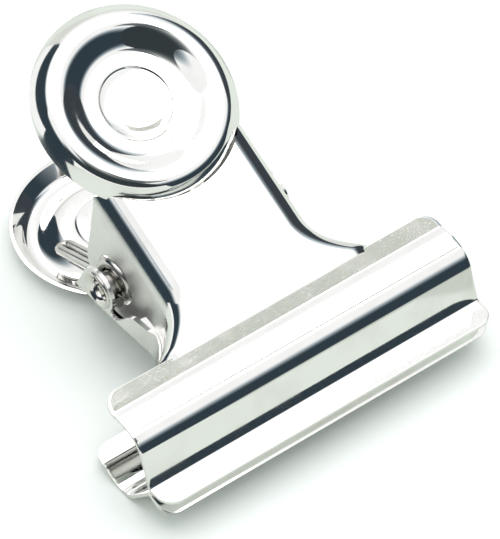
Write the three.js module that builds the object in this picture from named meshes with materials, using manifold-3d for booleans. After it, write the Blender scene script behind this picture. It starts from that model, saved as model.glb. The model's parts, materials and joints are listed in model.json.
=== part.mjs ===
// Round-headed bulldog clip: two stamped steel halves, a hollow pivot tube and one wound spring.
// Millimetres. The clip lies on its lower half with its jaws shut, on the plane z = 0.
// X runs along the jaws and the pivot, +Y from the jaws to the round heads, +Z up.

import * as THREE from 'three';
import { mergeVertices } from 'three/addons/utils/BufferGeometryUtils.js';
import Module from 'manifold-3d';

const wasm = await Module();
wasm.setup();

// Driving dimensions, the same for both halves
const sheet = 0.5;
const touchGap = 0.3;
const jawWidth = 51;
const neckAngle = 14;
const neckHeight = 10.6;

// Round heads
const headRadius = 13.5;
const headDistance = 13.4;
const skirtDrop = 0.65;
const rimRadius = 10.8;
const rimHeight = 1.8;
const floorRadius = 7.4;
const floorHeight = 0.2;
const spotRadius = 4.6;
const spotStep = 0.15;
const spotSlope = 0.25;

// Bends of the rim as [share of the way from its crown, share of its height]
const outerRim = [[1, 0.05], [0.93, 0.45], [0.74, 0.74], [0.5, 0.93], [0, 1]];
const innerRim = [[0.18, 0.93], [0.35, 0.71], [0.53, 0.38], [0.79, 0.1], [1, 0]];

// Jaws, as distances from the pivot axis towards the lips
const backEdge = 15.8;
const stripWidth = 2.4;
const stripAngle = 10;
const barrelPeak = 21.4;
const barrelHeight = 6.85;
const barrelBackRadius = 8.2;
const barrelFrontRadius = 3.8;
const creaseDistance = 27.1;
const creaseThickness = 0.58;
const lipLength = 3.7;
const lipAngle = 15;
const cornerRadius = 2.3;

// Necks and their side flanges
const bendRadius = 3;
const flareLength = 6.9;
const flareWidth = 5.4;
const neckOverlap = 6;
const flangeGap = 0.4;
const flangeRunOut = 1.9;
const runOutRise = 0.8;
const upperEarOffset = 10.65;
const upperEarRear = 6.2;
const upperLobeRadius = 5.9;
const upperLobeEnd = -165;
const lowerNeckOffset = 10.4;
const lowerEarOffset = 13.35;
const lowerEarRear = 5.2;
const lowerJawFlange = 11;
const lowerLean = 28;
const lowerLobeRadius = 3.1;
const lowerLobeEnd = -205;

// Where the lower flange starts and ends its step outwards to the ear
const joggleStart = -9.5;
const joggleEnd = -4.6;

// Edge between ear and jaw flange as [y, z]; the lower one overlaps the upper flange from outside
const upperDip = [[-6, -0.7], [-6.6, 0.2]];
const lowerDip = [[-3.5, 2.2], [-4.3, 1.4], [-5.2, 0], [-6.2, -1.3], [-8.1, 0.2]];

// Rear corner of the flanges as [share back from the ear, share down from the plate] of the bend radius
const rearCorner = [[0.4, 0.55], [0.1, 0.75], [0, 1.15]];

// Pivot tube
const tubeRadius = 1.75;
const tubeBore = 1.35;
const tubeFlangeRadius = 2.6;
const tubeFlange = 0.45;
const tubeMouthRadius = 2.15;
const tubeMouthDepth = 0.7;
const tubeFillet = 0.2;

// Spring wire
const wireDiameter = 1.1;
const coilRadius = 2.6;
const coilPitch = 1.56;
const outerTurns = 2;
const innerTurns = 3;
const armAngle = 36;
const middleLoop = 2;

// Fineness of the round shapes
const coilSteps = 8;
const wireSides = 5;
const loopSteps = 4;
const armStations = [0.3, 0.65];
const roundSegments = 48;
const holeSegments = 36;
const lobeSteps = 14;
const dipSteps = 12;
const cornerSteps = 6;
const barrelSteps = [5, 8];
const neckSteps = [9, 12];

// Helpers of the joins: the step of a flush seam, the shortest edge that is kept, how deep plates
// sink into each other, and how far the cutters reach
const seamStep = 0.04;
const shortestEdge = 0.006;
const sunk = 0.4;
const cutReach = 40;

const rad = THREE.MathUtils.degToRad;
const deg = THREE.MathUtils.radToDeg;
const slope = Math.tan(rad(neckAngle));
const neckUp = (y) => neckHeight + y * slope;
const jawHalf = jawWidth / 2;

// Solids

function solidOf(geometry) {
  const bare = geometry.clone();
  bare.deleteAttribute('normal');
  bare.deleteAttribute('uv');
  const merged = mergeVertices(bare, 1e-4);
  return new wasm.Manifold(new wasm.Mesh({
    numProp: 3,
    vertProperties: new Float32Array(merged.attributes.position.array),
    triVerts: new Uint32Array(merged.index.array),
  }));
}

function geometryOf(solid) {
  const mesh = solid.getMesh();
  const geometry = new THREE.BufferGeometry();
  geometry.setAttribute('position', new THREE.BufferAttribute(new Float32Array(mesh.vertProperties), 3));
  geometry.setIndex(new THREE.BufferAttribute(new Uint32Array(mesh.triVerts), 1));
  geometry.computeVertexNormals();
  return geometry;
}

// Joins the ends of the very short edges that cuts leave behind, and drops the triangles they close
function withoutShortEdges(geometry) {
  const position = geometry.attributes.position;
  const order = geometry.index.array;
  const place = (i) => new THREE.Vector3().fromBufferAttribute(position, i);
  const target = Array.from({ length: position.count }, (_, i) => i);
  const kept = (i) => (target[i] === i ? i : kept(target[i]));
  for (let i = 0; i < order.length; i += 3) {
    for (let k = 0; k < 3; k += 1) {
      const a = kept(order[i + k]);
      const b = kept(order[i + ((k + 1) % 3)]);
      if (a !== b && place(a).distanceTo(place(b)) < shortestEdge) {
        target[b] = a;
      }
    }
  }
  const triangles = new Map();
  for (let i = 0; i < order.length; i += 3) {
    const corners = [kept(order[i]), kept(order[i + 1]), kept(order[i + 2])];
    const key = [...corners].sort((a, b) => a - b).join();
    if (new Set(corners).size < 3) {
      continue;
    }
    if (triangles.has(key)) {
      triangles.delete(key);
    } else {
      triangles.set(key, corners);
    }
  }
  geometry.setIndex([...triangles.values()].flat());
  geometry.computeVertexNormals();
  return geometry;
}

// Closed outline in (y, z), swept along X from -halfWidth to halfWidth
function sweptAlongX(points, halfWidth) {
  const shape = new THREE.Shape(points.map(([y, z]) => new THREE.Vector2(y, z)));
  const depth = 2 * halfWidth;
  const geometry = new THREE.ExtrudeGeometry(shape, { depth, bevelEnabled: false, steps: 1 });
  const turn = new THREE.Matrix4().makeBasis(
    new THREE.Vector3(0, 1, 0),
    new THREE.Vector3(0, 0, 1),
    new THREE.Vector3(1, 0, 0),
  );
  geometry.applyMatrix4(turn);
  geometry.translate(-halfWidth, 0, 0);
  return solidOf(geometry);
}

// Round solid about X
function turnedAboutX(profile, segments = holeSegments) {
  const points = profile.map(([radius, along]) => new THREE.Vector2(radius, along));
  const geometry = new THREE.LatheGeometry(points, segments);
  geometry.rotateZ(-Math.PI / 2);
  return solidOf(geometry);
}

function arcPoints(centre, radius, startDegrees, endDegrees, steps) {
  const points = [];
  for (let i = 0; i <= steps; i += 1) {
    const angle = rad(startDegrees + ((endDegrees - startDegrees) * i) / steps);
    points.push([centre[0] + radius * Math.cos(angle), centre[1] + radius * Math.sin(angle)]);
  }
  return points;
}

// Open line moved to its right-hand side by a distance, with mitred corners
function offsetLine(points, distance) {
  const normals = [];
  for (let i = 0; i < points.length - 1; i += 1) {
    const dy = points[i + 1][0] - points[i][0];
    const dz = points[i + 1][1] - points[i][1];
    const length = Math.hypot(dy, dz);
    normals.push([dz / length, -dy / length]);
  }
  return points.map((point, i) => {
    const before = normals[Math.max(i - 1, 0)];
    const after = normals[Math.min(i, normals.length - 1)];
    const sum = [before[0] + after[0], before[1] + after[1]];
    const scale = (2 * distance) / (sum[0] ** 2 + sum[1] ** 2);
    return [point[0] + sum[0] * scale, point[1] + sum[1] * scale];
  });
}

// Jaw: strip, rounded barrel, crease and flared lip, in the frame of the upper half

const lipTurn = rad(90 - lipAngle);

function jawLine() {
  const start = [-backEdge, neckUp(-backEdge)];
  const stripEnd = -backEdge - stripWidth;
  const valley = [stripEnd, start[1] - stripWidth * Math.tan(rad(stripAngle))];
  const backCentre = barrelHeight - barrelBackRadius;
  const backSpan = barrelPeak + stripEnd;
  const backAngle = deg(Math.asin(backSpan / barrelBackRadius));
  const backStart = 90 - backAngle;
  const back = arcPoints([-barrelPeak, backCentre], barrelBackRadius, backStart, 90, barrelSteps[0]);
  const centre = [-barrelPeak, barrelHeight - barrelFrontRadius];
  const crease = [-creaseDistance, touchGap / 2 + creaseThickness];
  const toCrease = [crease[0] - centre[0], crease[1] - centre[1]];
  const reach = Math.hypot(toCrease[0], toCrease[1]);
  const heading = deg(Math.atan2(toCrease[1], toCrease[0])) + 360;
  const touch = heading - deg(Math.acos(barrelFrontRadius / reach));
  const front = arcPoints(centre, barrelFrontRadius, 90, touch, barrelSteps[1]).slice(1);
  const lip = [
    crease[0] - lipLength * Math.sin(lipTurn),
    crease[1] + lipLength * Math.cos(lipTurn),
  ];
  back[0] = valley;
  return [start, ...back, ...front, crease, lip];
}

function jawSolid() {
  const outer = jawLine();
  const inner = offsetLine(outer, -sheet);
  const bar = sweptAlongX([...outer, ...inner.reverse()], jawHalf);
  const lipEnd = outer[outer.length - 1][0];
  const plan = new THREE.Shape();
  const r = cornerRadius;
  const back = -backEdge;
  plan.moveTo(-jawHalf, lipEnd + r);
  plan.absarc(-jawHalf + r, lipEnd + r, r, Math.PI, 1.5 * Math.PI);
  plan.absarc(jawHalf - r, lipEnd + r, r, 1.5 * Math.PI, 2 * Math.PI);
  plan.absarc(jawHalf - r, back - r, r, 0, 0.5 * Math.PI);
  plan.absarc(-jawHalf + r, back - r, r, 0.5 * Math.PI, Math.PI);
  const height = 2 * neckHeight;
  const options = { depth: height, bevelEnabled: false, curveSegments: cornerSteps };
  const cutter = new THREE.ExtrudeGeometry(plan, options);
  cutter.translate(0, 0, -height / 2);
  return bar.intersect(solidOf(cutter));
}

// Head: a dished disc with a round rim, in the frame of the upper half

function headSolid() {
  const outerWidth = headRadius - rimRadius;
  const innerWidth = rimRadius - floorRadius;
  const dishDepth = rimHeight - floorHeight;
  const outer = [
    [headRadius, -skirtDrop],
    ...outerRim.map(([away, up]) => [rimRadius + away * outerWidth, up * rimHeight]),
    ...innerRim.map(([away, up]) => [rimRadius - away * innerWidth, floorHeight + up * dishDepth]),
    [spotRadius + spotSlope, floorHeight],
    [spotRadius, floorHeight - spotStep],
    [0, floorHeight - spotStep],
  ];
  const inner = offsetLine(outer, -sheet).map(([r, h]) => [Math.max(r, 0), h]);
  inner[0][1] = -skirtDrop;
  inner[inner.length - 1][0] = 0;
  const line = [...outer, ...inner.reverse(), outer[0]];
  const profile = line.map(([r, h]) => new THREE.Vector2(r, h));
  const geometry = new THREE.LatheGeometry(profile, roundSegments, Math.PI / roundSegments);
  geometry.rotateX(Math.PI / 2);
  return placedOnHead(solidOf(geometry));
}

function headMatrix() {
  return new THREE.Matrix4()
    .makeTranslation(0, headDistance, neckUp(headDistance))
    .multiply(new THREE.Matrix4().makeRotationX(rad(neckAngle)));
}

function placedOnHead(solid) {
  const geometry = geometryOf(solid);
  geometry.applyMatrix4(headMatrix());
  return solidOf(geometry);
}

// Neck: a plate with bent side flanges, lofted from cross-sections along the clip

// The neck's outline flares out from flareStart to flareEnd, and runs straight on into the strip
const flareEnd = -backEdge + sunk;
const flareStart = flareEnd + flareLength;

function flareAt(y) {
  const into = THREE.MathUtils.clamp((flareStart - y) / flareLength, 0, 1);
  return flareWidth * into ** 2;
}

// Right half of a cross-section as [x, z], from the edge of the flat plate down to below the mid-plane
function upperSection(y) {
  const flare = flareAt(y);
  const flat = upperEarOffset - bendRadius + flare;
  const top = neckUp(y) - seamStep;
  const points = arcPoints([flat, top - bendRadius], bendRadius, 90, 0, cornerSteps);
  const foot = -upperLobeRadius - sunk;
  points.push([flat + bendRadius, (top - bendRadius + foot) / 2]);
  points.push([flat + bendRadius, foot]);
  return points;
}

function lowerSection(y) {
  const flare = flareAt(y);
  const flat = lowerNeckOffset - bendRadius + flare;
  const top = neckUp(y) - seamStep;
  const points = arcPoints([flat, top - bendRadius], bendRadius, 90, lowerLean, cornerSteps);
  const joggle = THREE.MathUtils.smoothstep(y, joggleStart, joggleEnd);
  const reach = lowerJawFlange + (lowerEarOffset - lowerJawFlange) * joggle + flare;
  const last = points[points.length - 1];
  const run = (reach - last[0]) / Math.tan(rad(lowerLean));
  points.push([(last[0] + reach) / 2, last[1] - run / 2]);
  points.push([reach, last[1] - run]);
  points.push([reach, -lowerLobeRadius - sunk]);
  return points;
}

function neckSolid(section) {
  const stations = [-backEdge - sunk, -backEdge + sunk / 2, flareEnd];
  const rearY = headDistance - neckOverlap;
  const [flareSteps, plainSteps] = neckSteps;
  for (let i = 1; i <= flareSteps; i += 1) {
    stations.push(flareEnd + (flareLength * i) / flareSteps);
  }
  for (let i = 1; i <= plainSteps; i += 1) {
    stations.push(flareStart + ((rearY - flareStart) * i) / plainSteps);
  }
  const rows = stations.map((y) => {
    const right = section(y);
    const left = right.map(([x, z]) => [-x, z]).reverse();
    return [...left, ...right].map(([x, z]) => new THREE.Vector3(x, y, z));
  });
  const columns = rows[0].length;
  const inner = rows.map((row, i) => row.map((point, j) => {
    const before = rows[Math.max(i - 1, 0)][j];
    const after = rows[Math.min(i + 1, rows.length - 1)][j];
    const left = row[Math.max(j - 1, 0)];
    const right = row[Math.min(j + 1, columns - 1)];
    const along = new THREE.Vector3().subVectors(after, before);
    const across = new THREE.Vector3().subVectors(right, left);
    const normal = new THREE.Vector3().crossVectors(across, along).normalize();
    return point.clone().addScaledVector(normal, -sheet);
  }));
  const vertices = [...rows.flat(), ...inner.flat()];
  const positions = new Float32Array(vertices.flatMap((v) => [v.x, v.y, v.z]));
  const layer = rows.length * columns;
  const at = (i, j, side) => i * columns + j + side * layer;
  const index = [];
  const quad = (a, b, c, d) => index.push(a, b, c, a, c, d);
  for (let i = 0; i < rows.length - 1; i += 1) {
    for (let j = 0; j < columns - 1; j += 1) {
      quad(at(i, j, 0), at(i, j + 1, 0), at(i + 1, j + 1, 0), at(i + 1, j, 0));
      quad(at(i, j, 1), at(i + 1, j, 1), at(i + 1, j + 1, 1), at(i, j + 1, 1));
    }
    quad(at(i, 0, 0), at(i + 1, 0, 0), at(i + 1, 0, 1), at(i, 0, 1));
    const end = columns - 1;
    quad(at(i, end, 0), at(i, end, 1), at(i + 1, end, 1), at(i + 1, end, 0));
  }
  const top = rows.length - 1;
  for (let j = 0; j < columns - 1; j += 1) {
    quad(at(0, j, 0), at(0, j, 1), at(0, j + 1, 1), at(0, j + 1, 0));
    quad(at(top, j, 0), at(top, j + 1, 0), at(top, j + 1, 1), at(top, j, 1));
  }
  const geometry = new THREE.BufferGeometry();
  geometry.setAttribute('position', new THREE.BufferAttribute(positions, 3));
  geometry.setIndex(index);
  const plate = solidOf(geometry);
  const middle = headRadius - sheet / 2;
  const hole = new THREE.CylinderGeometry(middle, middle, neckHeight, roundSegments);
  hole.rotateX(Math.PI / 2);
  return plate.subtract(placedOnHead(solidOf(hole)));
}

// Space under the flanges' free edges, cut away so that the ears remain
function flangeCutter(earRear, lobeRadius, lobeEnd, dip) {
  const edge = flangeGap / 2;
  const far = cutReach;
  const under = neckUp(-backEdge) - sheet / 2;
  const rear = rearCorner.map(([back, down]) => {
    const y = earRear + back * bendRadius;
    return [y, neckUp(y) - down * bendRadius];
  });
  const lobe = arcPoints([0, 0], lobeRadius, 0, lobeEnd, lobeSteps);
  const joint = [lobe[lobe.length - 1], ...dip];
  const curve = new THREE.SplineCurve(joint.map(([y, z]) => new THREE.Vector2(y, z)));
  const smoothed = curve.getPoints(dipSteps).slice(1).map((point) => [point.x, point.y]);
  const points = [
    [far, -far],
    [far, neckUp(far) - bendRadius],
    ...rear,
    ...lobe,
    ...smoothed,
    [-backEdge + flangeRunOut, edge],
    [-backEdge + flangeRunOut / 2, edge + runOutRise],
    [-backEdge - sunk / 2, under],
    [-far, under],
    [-far, -far],
  ];
  return sweptAlongX(points, far);
}

function earHole(radius) {
  return turnedAboutX([[0, -cutReach], [radius, -cutReach], [radius, cutReach], [0, cutReach]]);
}

function halfSolid(section, cutter, holeRadius) {
  const neck = neckSolid(section).subtract(cutter).subtract(earHole(holeRadius));
  return neck.add(jawSolid()).add(headSolid());
}

// Pivot tube with flared ends

function tubeSolid() {
  const seat = lowerEarOffset + touchGap;
  const end = seat + tubeFlange;
  const half = [
    [tubeRadius, seat - tubeFillet],
    [tubeRadius + tubeFillet, seat],
    [tubeFlangeRadius - tubeFillet, seat],
    [tubeFlangeRadius, seat + tubeFlange / 2],
    [tubeFlangeRadius - tubeFillet, end],
    [tubeMouthRadius, end],
    [(tubeMouthRadius + tubeBore) / 2, end - tubeMouthDepth / 2],
    [tubeBore, end - tubeMouthDepth],
  ];
  const mirror = half.map(([r, x]) => [r, -x]).reverse();
  const line = [...mirror, ...half];
  return turnedAboutX([...line, line[0]]);
}

// Spring: one wire, mirrored about the middle

const wireRadius = wireDiameter / 2;
const armStart = 270 - armAngle;
const coilEndX = lowerEarOffset - sheet - touchGap - wireRadius;

// How far an arm reaches before its wire lies on the inside of the head's floor
function armReach() {
  const direction = [Math.cos(rad(armAngle)), Math.sin(rad(armAngle))];
  const start = [-coilRadius * direction[1], coilRadius * direction[0]];
  const inside = sheet - floorHeight + touchGap + wireRadius;
  const clear = inside / Math.cos(rad(neckAngle));
  return (neckUp(start[0]) - clear - start[1]) / (direction[1] - direction[0] * slope);
}

// Round end of an arm that starts at foot: the wire turns towards +X through the given angle
function loopPoints(foot, direction, reach, radius, turn) {
  const centre = foot.clone().addScaledVector(direction, reach - radius);
  centre.x += radius;
  const points = [];
  for (let i = 0; i <= loopSteps; i += 1) {
    const angle = (turn * i) / loopSteps;
    const across = new THREE.Vector3(-radius * Math.cos(angle), 0, 0);
    points.push(centre.clone().add(across).addScaledVector(direction, radius * Math.sin(angle)));
  }
  return points;
}

function wireRoute() {
  const points = [];
  const at = (x, degrees, radius = coilRadius) => new THREE.Vector3(
    x,
    radius * Math.cos(rad(degrees)),
    radius * Math.sin(rad(degrees)),
  );
  const outerSteps = outerTurns * coilSteps;
  const firstArm = -coilEndX + outerTurns * coilPitch;
  const coilEnd = at(-coilEndX, armStart);
  const endHeading = at(0, armStart + 90, 1);
  points.push(coilEnd.clone().addScaledVector(endHeading, -wireDiameter), coilEnd);
  for (let i = 1; i <= outerSteps; i += 1) {
    points.push(at(-coilEndX + (coilPitch * i) / coilSteps, armStart + (360 * i) / coilSteps));
  }
  const reach = armReach();
  const downArm = new THREE.Vector3(0, Math.cos(rad(armAngle)), -Math.sin(rad(armAngle)));
  const foot = at(firstArm, armStart);
  const bend = coilPitch / 2;
  for (const share of armStations) {
    points.push(foot.clone().addScaledVector(downArm, (reach - bend) * share));
  }
  points.push(...loopPoints(foot, downArm, reach, bend, Math.PI));
  const second = firstArm + coilPitch;
  const back = at(second, armStart);
  for (const share of [...armStations].reverse()) {
    points.push(back.clone().addScaledVector(downArm, (reach - bend) * share));
  }
  const upperStart = 90 + armAngle;
  const swing = armStart - upperStart + 360 * innerTurns;
  const innerSteps = Math.round((swing / 360) * coilSteps);
  for (let i = 0; i <= innerSteps; i += 1) {
    const turned = (swing * i) / innerSteps;
    points.push(at(second + (coilPitch * turned) / 360, armStart - turned));
  }
  const third = points[points.length - 1].x;
  const upArm = new THREE.Vector3(0, Math.cos(rad(armAngle)), Math.sin(rad(armAngle)));
  const head = at(third, upperStart);
  for (const share of armStations) {
    points.push(head.clone().addScaledVector(upArm, (reach - middleLoop) * share));
  }
  points.push(...loopPoints(head, upArm, reach, middleLoop, Math.PI / 2));
  const mirrored = points.map((p) => new THREE.Vector3(-p.x, p.y, p.z)).reverse();
  return [...points, ...mirrored];
}

// Tube of wireSides sides through the route, with rings turned along with the wire
function wireGeometry(route) {
  const positions = [];
  const count = route.length;
  let normal = new THREE.Vector3(1, 0, 0);
  for (let i = 0; i < count; i += 1) {
    const before = route[Math.max(i - 1, 0)];
    const after = route[Math.min(i + 1, count - 1)];
    const along = new THREE.Vector3().subVectors(after, before).normalize();
    normal = normal.clone().addScaledVector(along, -normal.dot(along)).normalize();
    const side = new THREE.Vector3().crossVectors(along, normal);
    for (let k = 0; k < wireSides; k += 1) {
      const angle = (2 * Math.PI * k) / wireSides;
      const point = route[i].clone();
      point.addScaledVector(normal, wireRadius * Math.cos(angle));
      point.addScaledVector(side, wireRadius * Math.sin(angle));
      positions.push(point.x, point.y, point.z);
    }
  }
  const index = [];
  for (let i = 0; i < count - 1; i += 1) {
    for (let k = 0; k < wireSides; k += 1) {
      const next = (k + 1) % wireSides;
      const a = i * wireSides + k;
      const b = i * wireSides + next;
      const c = (i + 1) * wireSides + next;
      const d = (i + 1) * wireSides + k;
      index.push(a, b, c, a, c, d);
    }
  }
  const last = (count - 1) * wireSides;
  for (let k = 1; k < wireSides - 1; k += 1) {
    index.push(0, k + 1, k);
    index.push(last, last + k, last + k + 1);
  }
  const geometry = new THREE.BufferGeometry();
  geometry.setAttribute('position', new THREE.BufferAttribute(new Float32Array(positions), 3));
  geometry.setIndex(index);
  geometry.computeVertexNormals();
  return geometry;
}

// Least gap between stretches of the wire that are over three diameters apart along it
function leastGap(route) {
  const apart = 3 * wireDiameter;
  const parts = 6;
  const curve = [];
  for (let i = 0; i < route.length - 1; i += 1) {
    for (let k = 0; k < parts; k += 1) {
      curve.push(route[i].clone().lerp(route[i + 1], k / parts));
    }
  }
  const travelled = [0];
  for (let i = 1; i < curve.length; i += 1) {
    travelled.push(travelled[i - 1] + curve[i].distanceTo(curve[i - 1]));
  }
  let least = Infinity;
  for (let i = 0; i < curve.length; i += 1) {
    for (let j = i + 1; j < curve.length; j += 1) {
      if (travelled[j] - travelled[i] > apart) {
        least = Math.min(least, curve[i].distanceTo(curve[j]));
      }
    }
  }
  return least - wireDiameter;
}

// Assembly

const plated = (colour, roughness) => new THREE.MeshStandardMaterial({
  color: colour,
  roughness,
  metalness: 1,
});

const nickel = plated(0xd9dcda, 0.12);
const wireSteel = plated(0xc4c8c6, 0.2);
const tubeSteel = plated(0xcfd2d0, 0.16);

function named(name, geometry, material) {
  const mesh = new THREE.Mesh(geometry, material);
  mesh.name = name;
  return mesh;
}

const coilHole = coilRadius + wireRadius + touchGap;
const upperCutter = flangeCutter(upperEarRear, upperLobeRadius, upperLobeEnd, upperDip);
const lowerCutter = flangeCutter(lowerEarRear, lowerLobeRadius, lowerLobeEnd, lowerDip);
const upperHalf = halfSolid(upperSection, upperCutter, coilHole);
const lowerShape = halfSolid(lowerSection, lowerCutter, tubeRadius + touchGap);

// The lower half is the mirror image of its shape below the mid-plane
function mirroredDown(solid) {
  const geometry = geometryOf(solid);
  geometry.scale(1, 1, -1);
  const order = geometry.index.array;
  for (let i = 0; i < order.length; i += 3) {
    [order[i], order[i + 1]] = [order[i + 1], order[i]];
  }
  geometry.computeVertexNormals();
  return geometry;
}

const route = wireRoute();
console.log(`least gap of the spring wire to itself: ${leastGap(route).toFixed(2)} mm`);

const upper = named('upper_jaw', withoutShortEdges(geometryOf(upperHalf)), nickel);
const lower = named('lower_jaw', withoutShortEdges(mirroredDown(lowerShape)), nickel);
const spring = named('torsion_spring', wireGeometry(route), wireSteel);
const tube = named('pivot_tube', geometryOf(tubeSolid()), tubeSteel);

// Resting tilt: turned about X until the lower barrel and the lower head touch the same level
function lowestAt(geometry, tilt, keep) {
  const position = geometry.attributes.position;
  let lowest = Infinity;
  for (let i = 0; i < position.count; i += 1) {
    const y = position.getY(i);
    if (keep(y)) {
      lowest = Math.min(lowest, y * Math.sin(tilt) + position.getZ(i) * Math.cos(tilt));
    }
  }
  return lowest;
}

let lowTilt = 0;
let highTilt = 2 * rad(neckAngle);
const halvings = 40;
for (let i = 0; i < halvings; i += 1) {
  const tilt = (lowTilt + highTilt) / 2;
  const jaws = lowestAt(lower.geometry, tilt, (y) => y < -backEdge);
  const head = lowestAt(lower.geometry, tilt, (y) => y > 0);
  if (head < jaws) {
    lowTilt = tilt;
  } else {
    highTilt = tilt;
  }
}

const clip = new THREE.Group();
clip.add(upper, lower, spring, tube);
clip.rotation.x = (lowTilt + highTilt) / 2;
clip.updateMatrixWorld(true);

const box = new THREE.Box3().setFromObject(clip, true);
const group = new THREE.Group();
clip.position.set(0, -(box.min.y + box.max.y) / 2, -box.min.z);
group.add(clip);
group.updateMatrixWorld(true);

export default group;
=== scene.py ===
# %% [markdown]
# # A round-headed metal clip
# The clip is two stamped sheets of nickel-plated steel. They turn on a hollow tube, and one wound
# wire holds the lips shut. Its finish is close to a mirror, so its look is made of smooth surfaces
# and of what stands around it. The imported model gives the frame: the hinge, the bodies and the size
# of every piece. Each piece is then built again here with far finer curves, in the same place.

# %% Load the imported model
import json
import math
import bmesh
import bpy
from mathutils import Matrix, Vector


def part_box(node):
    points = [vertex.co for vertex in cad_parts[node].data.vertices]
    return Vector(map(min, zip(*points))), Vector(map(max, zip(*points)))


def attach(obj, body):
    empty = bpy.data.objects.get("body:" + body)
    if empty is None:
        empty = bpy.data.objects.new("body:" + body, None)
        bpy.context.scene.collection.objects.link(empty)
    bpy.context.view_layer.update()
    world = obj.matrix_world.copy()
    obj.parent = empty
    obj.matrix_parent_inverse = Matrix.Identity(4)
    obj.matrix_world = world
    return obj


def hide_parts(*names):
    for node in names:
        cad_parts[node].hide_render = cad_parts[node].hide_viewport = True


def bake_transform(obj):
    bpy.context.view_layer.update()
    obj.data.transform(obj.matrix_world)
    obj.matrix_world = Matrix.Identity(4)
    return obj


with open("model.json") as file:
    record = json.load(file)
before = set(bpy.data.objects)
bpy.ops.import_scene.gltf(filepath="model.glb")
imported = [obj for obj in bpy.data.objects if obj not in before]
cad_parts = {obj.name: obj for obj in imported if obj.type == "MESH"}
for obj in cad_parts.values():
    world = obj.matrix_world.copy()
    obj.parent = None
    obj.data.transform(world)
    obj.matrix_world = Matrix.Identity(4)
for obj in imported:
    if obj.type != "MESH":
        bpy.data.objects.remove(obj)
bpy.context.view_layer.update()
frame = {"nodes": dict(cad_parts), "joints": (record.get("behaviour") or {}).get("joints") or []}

for name in frame["nodes"]:
    low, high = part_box(name)
    print(name, [round(1000 * v, 1) for v in low], [round(1000 * v, 1) for v in high])

# %% [markdown]
# ## One frame for both halves
# Upper and lower half are mirror images across a plane through the hinge. Shapes are written in
# millimetres in the frame of that plane: X along the hinge, Y to the round heads, Z out of the plane.
# On the table the clip lies tilted about the hinge, until its lower barrel and lower head both touch.

# %% From the mid-plane frame to the table
hinge = Vector(frame["joints"][0]["pos_m"])
resting_tilt = math.radians(14.333)
to_table = Matrix.Translation(hinge) @ Matrix.Rotation(resting_tilt, 4, "X") @ Matrix.Scale(0.001, 4)
mirrored = Matrix.Diagonal((1, 1, -1, 1))
print("hinge at", [round(1000 * v, 2) for v in hinge])

# %% Sizes of the stampings in millimetres
sheet = 0.5
jaw_half = 25.5
neck_angle = math.radians(14)
neck_height = 10.6
head_radius, head_distance = 13.5, 13.4
brow_radius, brow_bend = 11.65, 1.7
crown_radius, crown_height = 10.3, 1.8
floor_radius, floor_height = 6.5, 0.2
spot_radius, spot_height = 4.6, 0.05
skirt_drop = 0.65
back_edge, strip_width, strip_angle = 15.8, 2.4, math.radians(10)
barrel_peak, barrel_height = 21.4, 6.85
barrel_back_radius, barrel_front_radius = 8.2, 3.8
crease_distance, crease_height = 27.1, 0.73
valley_radius, crease_radius = 0.35, 0.4
lip_length, lip_angle = 3.7, math.radians(15)
corner_radius = 2.3


def neck_up(y):
    return neck_height + y * math.tan(neck_angle)


print("the neck rises to", round(neck_up(head_distance), 2), "mm at the middle of the head")

# %% [markdown]
# ## The camera
# The photograph looks down on the clip from the front left with a long lens. The camera was fitted to
# the outline of the round head and the ends of the jaw, so its place and its three directions are numbers.

# %% Camera
lens_mm = 425.6


def add_camera(place_mm, right, up, ahead):
    data = bpy.data.cameras.new("camera")
    data.sensor_fit = "HORIZONTAL"
    data.sensor_width = 36
    data.lens = lens_mm
    data.clip_end = 10
    camera = bpy.data.objects.new("camera", data)
    turn = Matrix((right, up, [-v for v in ahead])).transposed().to_4x4()
    camera.matrix_world = Matrix.Translation(Vector(place_mm) / 1000) @ turn
    bpy.context.scene.collection.objects.link(camera)
    bpy.context.scene.camera = camera
    return camera


camera = add_camera(
    place_mm=(-289.43, -425.72, 545.19),
    right=(0.79856, -0.60107, -0.03178),
    up=(0.45265, 0.56489, 0.68993),
    ahead=(0.39675, 0.56533, -0.72317),
)
print("camera at", [round(v, 3) for v in camera.location])

# %% [markdown]
# ## Tools for stamped sheet
# Real sheet has one thickness everywhere and edges that are slightly rounded by the tumbling before
# plating. So a sheet is drawn once, as the grid of points on its outer face. The inner face is that
# grid moved in along its normals, and the cut edges get a fine bevel that catches the light.

# %% A closed sheet from the points of its outer face
def sheet_from_grid(rows, thickness):
    bm = bmesh.new()
    outer = [[bm.verts.new(point) for point in row] for row in rows]
    for near, far in zip(outer, outer[1:]):
        for i in range(len(near) - 1):
            bm.faces.new((near[i], near[i + 1], far[i + 1], far[i]))
    bm.normal_update()
    inner = [[bm.verts.new(v.co - v.normal * thickness) for v in row] for row in outer]
    for near, far in zip(inner, inner[1:]):
        for i in range(len(near) - 1):
            bm.faces.new((near[i + 1], near[i], far[i], far[i + 1]))
    rim = rim_of(outer), rim_of(inner)
    for i in range(len(rim[0])):
        k = i - 1
        bm.faces.new((rim[0][k], rim[0][i], rim[1][i], rim[1][k]))
    bmesh.ops.recalc_face_normals(bm, faces=bm.faces)
    return bm


def rim_of(grid):
    front, back = grid[0], grid[-1][::-1]
    right = [row[-1] for row in grid[1:-1]]
    left = [row[0] for row in grid[1:-1]][::-1]
    return front + right + back + left


square = sheet_from_grid([[Vector((x, y, 0)) for x in (0, 1)] for y in (0, 1)], sheet)
print("a sheet drawn as one square closes with", len(square.faces), "faces")
square.free()


# %% Rounded cut edges, smooth faces and finished objects
cut_edge_angle, sharp_angle = math.radians(50), math.radians(40)


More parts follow.
